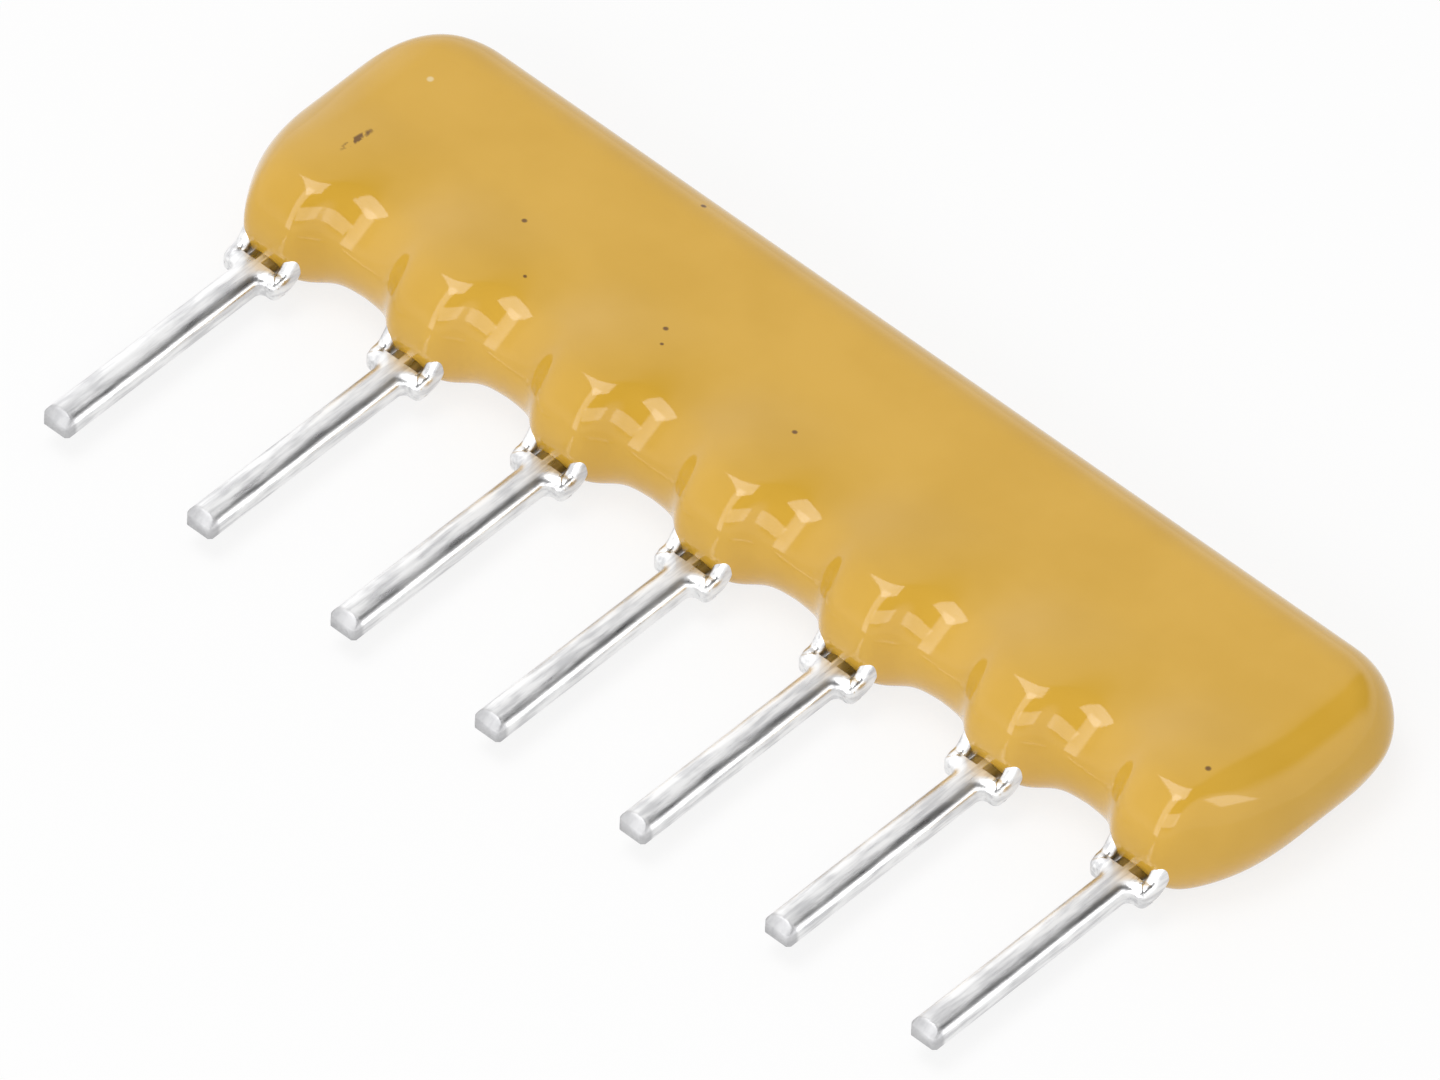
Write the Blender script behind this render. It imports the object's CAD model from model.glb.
import bpy
import numpy as np
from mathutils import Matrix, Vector


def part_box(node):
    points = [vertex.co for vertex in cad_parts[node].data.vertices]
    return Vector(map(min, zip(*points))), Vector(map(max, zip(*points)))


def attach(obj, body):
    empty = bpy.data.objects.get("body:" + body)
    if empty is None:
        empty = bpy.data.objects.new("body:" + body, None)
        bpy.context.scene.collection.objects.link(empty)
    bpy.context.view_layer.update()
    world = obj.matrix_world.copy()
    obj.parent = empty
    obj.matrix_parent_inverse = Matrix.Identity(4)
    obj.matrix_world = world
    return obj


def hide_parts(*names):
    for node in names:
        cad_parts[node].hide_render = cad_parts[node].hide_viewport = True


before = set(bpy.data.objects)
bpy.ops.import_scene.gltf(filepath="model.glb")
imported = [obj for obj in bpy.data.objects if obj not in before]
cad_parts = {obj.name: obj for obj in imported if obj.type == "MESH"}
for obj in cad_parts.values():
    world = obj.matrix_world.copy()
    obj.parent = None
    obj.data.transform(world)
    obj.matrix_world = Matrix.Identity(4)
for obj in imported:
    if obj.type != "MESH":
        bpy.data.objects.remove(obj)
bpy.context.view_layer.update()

# Ceramic plate
# A snapped plate of white alumina that carries the whole circuit. It is fired, then printed,
# clipped into the terminals and sealed in the coating.


class Signal:
    """A socket in a node tree. Arithmetic on it adds Math nodes, and add() adds any other node."""

    def __init__(self, tree, socket=None):
        self.tree = tree
        self.socket = socket

    def add(self, kind, settings=(), inputs=(), out=0):
        """Add one node: its settings come first, then the values or links of its sockets."""
        node = self.tree.nodes.new(kind)
        for name, value in dict(settings).items():
            setattr(node, name, value)
        for name, value in dict(inputs).items():
            if isinstance(value, Signal):
                self.tree.links.new(value.socket, node.inputs[name])
            else:
                node.inputs[name].default_value = value
        return Signal(self.tree, node.outputs[out])

    def feed(self, socket):
        """Link this signal into a shader's own socket."""
        self.tree.links.new(self.socket, socket)

    def math(self, operation, first, second):
        return self.add("ShaderNodeMath", {"operation": operation}, {0: first, 1: second})

    def __add__(self, other):
        return self.math("ADD", self, other)

    def __sub__(self, other):
        return self.math("SUBTRACT", self, other)

    def __rsub__(self, other):
        return self.math("SUBTRACT", other, self)

    def __mul__(self, other):
        return self.math("MULTIPLY", self, other)

    __radd__ = __add__
    __rmul__ = __mul__

    def larger(self, other):
        return self.math("MAXIMUM", self, other)

    def noise(self, size, detail=2.0, stretch=(1.0, 1.0, 1.0)):
        """Noise with blots of the given size in metres, stretched along the axes."""
        scale = tuple(1 / (size * s) for s in stretch)
        place = self.add("ShaderNodeMapping", {"vector_type": "POINT"}, {"Vector": self, "Scale": scale})
        return self.add("ShaderNodeTexNoise", {}, {"Vector": place, "Scale": 1.0, "Detail": detail})

    def fade(self, start, end):
        """An even change from 0 at start to 1 at end."""
        settings = {"interpolation_type": "SMOOTHSTEP"}
        return self.add("ShaderNodeMapRange", settings, {"Value": self, "From Min": start, "From Max": end})

    def tint(self, low, high):
        """Mix two colours by this signal. Either may be a signal."""
        return self.add("ShaderNodeMix", {"data_type": "RGBA"}, {"Factor": self, 6: low, 7: high}, 2)

    def bump(self, depth, strength):
        """Turn this signal into a normal, for a relief of the given depth in metres."""
        return self.add("ShaderNodeBump", {}, {"Height": self, "Distance": depth, "Strength": strength})


def start_material(name):
    """A new material: the material, its place signal in metres, and its shader."""
    material = bpy.data.materials.new(name)
    material.use_nodes = True
    shader = material.node_tree.nodes["Principled BSDF"]
    place = Signal(material.node_tree).add("ShaderNodeTexCoord", out="Object")
    return material, place, shader


def dress(nodes, material):
    """Give the material to every slot of the named pieces of the frame."""
    for name in nodes:
        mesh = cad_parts[name].data
        mesh.materials.clear()
        mesh.materials.append(material)


alumina, place, shader = start_material("fired_alumina")
grain = place.noise(0.00006, 3.0)
grain.tint((0.80, 0.78, 0.73, 1), (0.87, 0.86, 0.82, 1)).feed(shader.inputs["Base Color"])
(0.45 + 0.2 * grain).feed(shader.inputs["Roughness"])
grain.bump(0.000004, 0.4).feed(shader.inputs["Normal"])
dress(["ceramic_substrate"], alumina)

# Printed circuit
# Silver conductors, dark resistor ink and a green glass film, screen-printed one after another
# and fired onto the front of the plate.
pin_count = 7
pins = range(1, pin_count + 1)
silver_film, place, shader = start_material("silver_film")
grain = place.noise(0.00004, 4.0)
grain.tint((0.48, 0.46, 0.43, 1), (0.60, 0.59, 0.56, 1)).feed(shader.inputs["Base Color"])
shader.inputs["Metallic"].default_value = 0.9
(0.35 + 0.25 * grain).feed(shader.inputs["Roughness"])
dress(["bus_conductor"] + [f"pad_{i}" for i in pins if i > 1], silver_film)

resistor_ink, place, shader = start_material("resistor_ink")
grain = place.noise(0.00005, 4.0)
grain.tint((0.014, 0.013, 0.013, 1), (0.034, 0.032, 0.031, 1)).feed(shader.inputs["Base Color"])
(0.5 + 0.25 * grain).feed(shader.inputs["Roughness"])
dress([f"resistor_{i}" for i in pins if i < pin_count], resistor_ink)

green_glass, place, shader = start_material("green_glass_film")
cloud = place.noise(0.0003, 3.0)
cloud.tint((0.030, 0.125, 0.065, 1), (0.045, 0.16, 0.085, 1)).feed(shader.inputs["Base Color"])
(0.12 + 0.15 * cloud).feed(shader.inputs["Roughness"])
dress(["overglaze"], green_glass)

# Terminals
# Clips stamped from thin sheet and plated with tin, with dull sheared tips. Each has a flat pin with
# rolled edges, a wider head, a finger behind the plate and two prongs that slope up to its front.
mm = 0.001
pitch = 2.54 * mm
row_half = (pin_count - 1) * pitch / 2
half_w = 0.23 * mm
sheet_t = 0.30 * mm
prong_w = 0.19 * mm
prong_slot = 0.06 * mm
head_half = half_w + prong_slot + prong_w
pin_len = 3.55 * mm
head_h = 0.20 * mm
ear_r = 0.1 * mm
fillet_r = 0.1 * mm
bend_r = 0.1 * mm
prong_rise = 50
tip_chamfer = 0.05 * mm
tip_t = 0.18 * mm
bevel_len = 0.16 * mm
strip_low, strip_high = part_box("terminal_1")
y_tip = strip_low.y
y_finger = strip_high.y
y_head = y_tip + pin_len
y_bend = y_head + head_h
z_pin = strip_low.z
z_prong = strip_high.z - sheet_t


def arc(centre_x, centre_y, radius, start, end, steps):
    """Points on a circle about a centre, from one angle in degrees to another."""
    turn = np.radians(np.linspace(start, end, steps))
    return np.stack([centre_x + radius * np.cos(turn), centre_y + radius * np.sin(turn)], 1)


def strip_plan(inset, bevel):
    """Plan of the flat strip, moved inwards by the inset: its right side from tip to finger, then
    the same mirrored. The bevel moves the tip alone."""
    least = 0.001 * mm
    chamfer_loss = 2 - np.sqrt(2)
    side = half_w - inset
    tip = y_tip + inset + bevel
    cut = max(tip_chamfer - chamfer_loss * inset, least)
    ear = max(ear_r - inset, least)
    right = np.concatenate([
        [[side - cut, tip], [side, tip + cut]],
        arc(half_w + fillet_r, y_head - fillet_r, fillet_r + inset, 180, 90, 9),
        arc(head_half - inset - ear, y_head + inset + ear, ear, -90, 0, 9),
        [[head_half - inset, y_bend], [side, y_bend], [side, y_finger - inset]],
    ])
    return np.concatenate([right, right[::-1] * [-1, 1]])


def tube_faces(rings, count, first):
    """Quads between rings of equal count, each joined to the next, with a face over both ends."""
    ring, step = np.meshgrid(np.arange(rings - 1), np.arange(count), indexing="ij")
    low = first + ring * count + step
    side = first + ring * count + (step + 1) % count
    quads = np.stack([low, side, side + count, low + count], -1).reshape(-1, 4).tolist()
    last = first + (rings - 1) * count
    return quads + [list(range(first + count - 1, first - 1, -1)), list(range(last, last + count))]


def rolled_strip():
    """The strip as a stack of outlines: rounded at the back, crowned like an ellipse at the front."""
    back_r = 0.05 * mm
    crown_w = 0.19 * mm
    crown_h = 0.11 * mm
    turn = np.radians(np.linspace(0, 90, 13))
    insets = np.concatenate([back_r * (1 - np.cos(turn[::-1])), crown_w * (1 - np.cos(turn))])
    rise = np.concatenate([
        back_r * (1 - np.sin(turn[::-1])), sheet_t - crown_h * (1 - np.sin(turn))
    ])
    bevels = bevel_len * np.clip((rise - tip_t) / (sheet_t - tip_t), 0, 1) - np.minimum(insets, bevel_len)
    rings = []
    for inset, bevel, height in zip(insets, np.maximum(bevels, 0), rise):
        plan = strip_plan(inset, bevel)
        rings.append(np.column_stack([plan, np.full(len(plan), z_pin + height)]))
    return np.concatenate(rings), tube_faces(len(rings), len(plan), 0)


def prong(side, first):
    """A rounded bar carried along a path: a half-round nose on the head, up a slope, and forward over
    the plate. The tin makes it a little wider than the sheet."""
    bar_w = 0.23 * mm
    middle_r = bend_r + sheet_t / 2
    rise = np.radians(prong_rise)
    slope_h = z_prong - z_pin - 2 * middle_r * (1 - np.cos(rise))
    step = 2 * middle_r * np.sin(rise) + slope_h / np.tan(rise)
    nose = np.radians(np.linspace(10, 80, 8))
    nose_y = y_bend - (y_bend - y_head) * np.cos(nose)
    path = np.concatenate([
        np.stack([nose_y, np.full(len(nose), z_pin + sheet_t / 2)], 1),
        arc(y_bend, z_pin + sheet_t + bend_r, middle_r, -90, prong_rise - 90, 12),
        arc(y_bend + step, z_prong - bend_r, middle_r, 90 + prong_rise, 90, 12),
        [[y_finger, z_prong + sheet_t / 2]],
    ])
    along = np.gradient(path, axis=0)
    along /= np.linalg.norm(along, axis=1, keepdims=True)
    across = np.stack([-along[:, 1], along[:, 0]], 1)
    girth = np.ones(len(path))
    girth[:len(nose)] = np.sin(nose)
    turn = np.linspace(2 * np.pi, 0, 40, endpoint=False)
    flatness = 0.8
    width = np.sign(np.cos(turn)) * np.abs(np.cos(turn)) ** flatness * bar_w / 2
    depth = np.sign(np.sin(turn)) * np.abs(np.sin(turn)) ** flatness * sheet_t / 2
    middle_x = side * (head_half - prong_w / 2)
    x = middle_x + girth[:, None] * width[None, :]
    yz = path[:, None, :] + (girth[:, None] * depth[None, :])[:, :, None] * across[:, None, :]
    rings = np.concatenate([x[:, :, None], yz], 2)
    return rings.reshape(-1, 3), tube_faces(len(path), len(turn), first)


def new_piece(name, points, faces, smooth, material):
    """A mesh object at the origin, with its place in its points."""
    mesh = bpy.data.meshes.new(name)
    mesh.from_pydata(points, [], faces)
    mesh.polygons.foreach_set("use_smooth", smooth)
    mesh.materials.append(material)
    mesh.validate()
    piece = bpy.data.objects.new(name, mesh)
    bpy.context.scene.collection.objects.link(piece)
    return piece


tin, place, shader = start_material("tin_plate")
streak = place.noise(0.00007, 3.0, (1.0, 9.0, 1.0))
pit = place.noise(0.00003, 2.0)
stain = place.noise(0.0005, 2.0)
bright = (0.6 * streak + 0.4 * stain).fade(0.36, 0.60)
plated = bright.tint((0.60, 0.60, 0.61, 1), (0.86, 0.86, 0.86, 1))
along_pin = place.add("ShaderNodeSeparateXYZ", (), {0: place}, "Y")
bare_metal = (0.40, 0.40, 0.41, 1)
sheared = along_pin.fade(y_tip + 0.21 * mm, y_tip + 0.13 * mm)
(0.7 * sheared).tint(plated, bare_metal).feed(shader.inputs["Base Color"])
shader.inputs["Metallic"].default_value = 1.0
(0.20 + 0.22 * streak + 0.2 * sheared).feed(shader.inputs["Roughness"])
(0.5 * streak + 0.5 * pit).bump(0.000004, 0.5).feed(shader.inputs["Normal"])

strip_points, strip_faces = rolled_strip()
left_points, left_faces = prong(-1, len(strip_points))
right_points, right_faces = prong(1, len(strip_points) + len(left_points))
clip_points = np.concatenate([strip_points, left_points, right_points])
clip_faces = strip_faces + left_faces + right_faces
clip_smooth = [len(face) == 4 for face in clip_faces]
for i in pins:
    shifted = clip_points + [(i - 1) * pitch - row_half, 0, 0]
    clip = new_piece(f"tinned_terminal_{i}", shifted, clip_faces, clip_smooth, tin)
    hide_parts(f"terminal_{i}")
    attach(clip, "root")

# Solder
# Small fillets of tin solder that join the prongs to their silver pads. They are reflowed when the
# plate sits in its clips, before the part is dipped.
solder_metal, place, shader = start_material("solder_metal")
dull = place.noise(0.0001, 3.0)
dull.tint((0.42, 0.42, 0.43, 1), (0.56, 0.56, 0.57, 1)).feed(shader.inputs["Base Color"])
shader.inputs["Metallic"].default_value = 1.0
(0.25 + 0.25 * dull).feed(shader.inputs["Roughness"])
dress([f"solder_{i}" for i in pins], solder_metal)

# Epoxy coating
# Golden-yellow epoxy that the finished circuit is dipped in. It runs down each terminal in a lobe,
# stands in a ridge over the prongs, sets with a high gloss, and keeps a few specks and a scuff.
coat_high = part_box("coating")[1]
body_half = coat_high.x
y_top = coat_high.y
y_scallop = y_tip + 4.2865 * mm
scallop_depth = 0.41 * mm
lobe_half = 0.60 * mm
lobe_power = 5
edge_round = 0.80 * mm
end_round = 0.85 * mm
corner_top = 1.3 * mm
corner_low_w = 0.75 * mm
corner_low_h = 1.6 * mm
ridge_h = 0.16 * mm
ridge_fade = 1.5 * mm
ridge_full = 0.12
z_middle = (coat_high.z - ridge_h) / 2


def to_pin(x):
    """Distance along the row to the nearest pin."""
    nearest = np.clip(np.round((x + row_half) / pitch), 0, pin_count - 1)
    return np.abs(x + row_half - nearest * pitch)


def corner(s):
    """Fall of a corner arc: 0 before the corner, 1 at its end."""
    return 1 - np.sqrt(1 - np.clip(s, 0, 1) ** 2)


def smooth(s):
    """Even change from 0 to 1: three times the square less twice the cube."""
    t = np.clip(s, 0, 1)
    return t * t * (3 - 2 * t)


def coating_surface(row_steps, end_steps, edge_steps, face_steps):
    """Closed sections along the row. Each goes up the front between a scalloped lower edge and
    an upper edge, both quarter round, and down the flat back; ends close in the same round."""
    end_turn = np.radians(np.linspace(2, 90, end_steps))
    close = body_half - end_round * (1 - np.cos(end_turn))
    even = np.linspace(-close[-1], close[-1], row_steps)
    x = np.concatenate([-close, even[1:-1], close[::-1]])[:, None]
    low = y_scallop - scallop_depth / (1 + (to_pin(x) / lobe_half) ** lobe_power)
    low = low + corner_low_h * corner((np.abs(x) - body_half + corner_low_w) / corner_low_w)
    high = y_top - corner_top * corner((np.abs(x) - body_half + corner_top) / corner_top)
    end = np.sqrt(1 - (1 - np.minimum((body_half - np.abs(x)) / end_round, 1)) ** 2)

    turn = np.radians(np.linspace(0, 90, edge_steps))[None, :]
    most_of_height = 0.49
    round_w = np.minimum(edge_round, most_of_height * (high - low))
    share = np.linspace(0, 1, face_steps)[None, 1:-1]
    rise = low + round_w * (1 - np.cos(turn))
    flat = low + round_w + (high - low - 2 * round_w) * share
    fall = high - round_w * (1 - np.sin(turn))
    full = np.ones_like(flat)
    y = np.concatenate([rise, flat, fall], 1)
    lift = np.concatenate([np.sin(turn) + 0 * rise, full, np.cos(turn) + 0 * fall], 1)

    phase = 2 * np.pi * to_pin(x) / pitch
    wave = (1 + np.cos(phase)) / 2 + ridge_full * np.sin(phase) ** 2
    ridge = ridge_h * wave * (1 - smooth((y - y_finger) / ridge_fade + 0.5))
    front = z_middle + (z_middle + ridge) * lift * end
    back = z_middle - z_middle * lift * end
    ring_y = np.concatenate([y, y[:, -2:0:-1]], 1)
    ring_z = np.concatenate([front, back[:, -2:0:-1]], 1)
    ring_x = np.broadcast_to(x, ring_y.shape)
    points = np.stack([ring_x, ring_y, ring_z], -1)[:, ::-1]
    return points.reshape(-1, 3), tube_faces(points.shape[0], points.shape[1], 0)


epoxy, place, shader = start_material("dipped_epoxy")
cloud = place.noise(0.0016, 3.0)
mottle = place.noise(0.00012, 2.0)
golden = cloud.fade(0.3, 0.7).tint((0.625, 0.360, 0.038, 1), (0.665, 0.390, 0.050, 1))


def mark(x, y, half_x, half_y):
    """A soft oval mark on the front of the coating: 1 inside, 0 outside. Sizes are in mm."""
    centre = (x * mm, y * mm, coat_high.z - ridge_h)
    shrink = (1 / (half_x * mm), 1 / (half_y * mm), 1 / z_middle)
    away = place.add("ShaderNodeVectorMath", {"operation": "SUBTRACT"}, {0: place, 1: centre})
    away = place.add("ShaderNodeVectorMath", {"operation": "MULTIPLY"}, {0: away, 1: shrink})
    return place.add("ShaderNodeVectorMath", {"operation": "LENGTH"}, {0: away}, "Value").fade(1.0, 0.45)


specks = [
    (-5.01, 1.83, 0.05),
    (-4.31, 1.11, 0.035),
    (-3.59, 3.66, 0.05),
    (-2.39, 1.70, 0.05),
    (-2.22, 1.45, 0.035),
    (0.06, 1.51, 0.05),
    (7.88, 0.86, 0.055),
]
scuff = mark(-7.505, 1.34, 0.07, 0.40) * mottle.fade(0.42, 0.55)
dirt = scuff
for speck_x, speck_y, speck_r in specks:
    dirt = dirt.larger(mark(speck_x, speck_y, speck_r, speck_r))
pale = mark(-7.62, 2.81, 0.06, 0.06)
dark_brown = (0.10, 0.035, 0.008, 1)
pale_cream = (0.80, 0.66, 0.38, 1)
soiled = (0.85 * dirt).tint(golden, dark_brown)
(0.7 * pale).tint(soiled, pale_cream).feed(shader.inputs["Base Color"])
shader.inputs["Specular IOR Level"].default_value = 0.5
(0.05 + 0.05 * mottle + 0.3 * dirt).feed(shader.inputs["Roughness"])
(0.7 * cloud + 0.3 * mottle).bump(0.00001, 0.15).feed(shader.inputs["Normal"])

coating_points, coating_faces = coating_surface(row_steps=560, end_steps=26, edge_steps=24, face_steps=26)
coating_smooth = [True] * len(coating_faces)
coating = new_piece("dipped_coating", coating_points, coating_faces, coating_smooth, epoxy)
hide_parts("coating")
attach(coating, "root")

# Table and light
# A plain white table in a pale studio: a softbox overhead, a wide one in front, a dim ceiling to the
# right, and a tall and a small window, which show in what is glossy.
floor_half = 1.0
floor_z = -0.00001
floor_points = [
    (-floor_half, -floor_half, floor_z),
    (floor_half, -floor_half, floor_z),
    (floor_half, floor_half, floor_z),
    (-floor_half, floor_half, floor_z),
]
white_table, place, shader = start_material("white_table")
shader.inputs["Base Color"].default_value = (0.9, 0.9, 0.9, 1)
shader.inputs["Roughness"].default_value = 0.9
shader.inputs["Specular IOR Level"].default_value = 0.0
glow = place.tree.nodes.new("ShaderNodeEmission")
blend = place.tree.nodes.new("ShaderNodeMixShader")
seen = place.add("ShaderNodeLightPath", out="Is Camera Ray")
mirrored = place.add("ShaderNodeLightPath", out="Is Glossy Ray")
glow_share = 0.8
(glow_share * seen.larger(mirrored)).feed(blend.inputs[0])
place.tree.links.new(shader.outputs[0], blend.inputs[1])
place.tree.links.new(glow.outputs[0], blend.inputs[2])
place.tree.links.new(blend.outputs[0], place.tree.nodes["Material Output"].inputs["Surface"])
table_top = new_piece("table_top", floor_points, [(0, 1, 2, 3)], [False], white_table)

world = bpy.data.worlds.new("studio")
bpy.context.scene.world = world
world.use_nodes = True
sky = Signal(world.node_tree)
direction = sky.add("ShaderNodeTexCoord", out="Generated")
camera_ray = sky.add("ShaderNodeLightPath", out="Is Camera Ray")
glossy_ray = sky.add("ShaderNodeLightPath", out="Is Glossy Ray")
sideways = direction.add("ShaderNodeSeparateXYZ", (), {0: direction}, "X")
forwards = direction.add("ShaderNodeSeparateXYZ", (), {0: direction}, "Y")
upwards = direction.add("ShaderNodeSeparateXYZ", (), {0: direction}, "Z")
# Each fade runs between two shares of a direction of length 1.
dusk = 0.4 * sideways.fade(-0.70, -0.30) + 0.6 * sideways.fade(-0.30, -0.08)
dark_band = dusk * sideways.fade(0.66, 0.42) * upwards.fade(0.1, 0.4)
front_window = sideways.fade(-0.32, -0.28) * sideways.fade(-0.04, -0.08) * forwards.fade(-0.15, -0.2)
right_height = forwards.fade(0.02, 0.06) * forwards.fade(0.44, 0.40) * upwards.fade(0.36, 0.40)
right_window = sideways.fade(0.66, 0.70) * right_height
wall_level = 1.25
band_depth = 1.2
window_level = 2.6
ambient = 0.63
wall = wall_level - band_depth * dark_band + window_level * (front_window + right_window)
level = camera_ray.larger(glossy_ray * wall).larger(ambient * (1 - glossy_ray))
background = world.node_tree.nodes["Background"]
background.inputs["Color"].default_value = (1, 1, 1, 1)
level.feed(background.inputs["Strength"])

focus = Vector((0, 2.0 * mm, 1.0 * mm))


def softbox(name, towards, size, radiance):
    """An area lamp that faces the part from a direction, as bright as a white of that radiance."""
    distance = 0.25
    lamp = bpy.data.lights.new(name, "AREA")
    lamp.shape = "RECTANGLE"
    lamp.size, lamp.size_y = size
    lamp.energy = radiance * np.pi * lamp.size * lamp.size_y
    holder = bpy.data.objects.new(name, lamp)
    aim = Vector(towards).normalized()
    holder.location = focus + aim * distance
    holder.rotation_euler = aim.to_track_quat("Z", "Y").to_euler()
    holder.visible_camera = False
    bpy.context.scene.collection.objects.link(holder)


softbox("overhead_softbox", (-0.17, -0.10, 0.97), (0.14, 0.12), 3.6)
softbox("front_softbox", (0.30, -0.81, 0.50), (0.20, 0.11), 2.6)

camera_data = bpy.data.cameras.new("camera")
camera_data.lens = 1100.0
camera_data.sensor_width = 36.0
camera = bpy.data.objects.new("camera", camera_data)
azimuth = np.radians(43.6)
elevation = np.radians(47.3)
to_camera = Vector((
    np.sin(azimuth) * np.cos(elevation), -np.cos(azimuth) * np.cos(elevation), np.sin(elevation)
))
right = Vector((np.cos(azimuth), np.sin(azimuth), 0))
up = to_camera.cross(right)
pixels_per_metre = 78600.0
photo_width = 1440
photo_centre = Vector((720.0, 540.0))
pivot = Vector((0, y_tip + 3.9565 * mm, 0.53 * mm))
pivot_pixel = Vector((700.2, 559.8))
offset = (photo_centre - pivot_pixel) / pixels_per_metre
aim_point = pivot + right * offset.x - up * offset.y
distance = camera_data.lens / camera_data.sensor_width * photo_width / pixels_per_metre
camera.location = aim_point + to_camera * distance
camera.rotation_euler = to_camera.to_track_quat("Z", "Y").to_euler()
bpy.context.scene.collection.objects.link(camera)
bpy.context.scene.camera = camera
bpy.context.scene.view_settings.view_transform = "Standard"
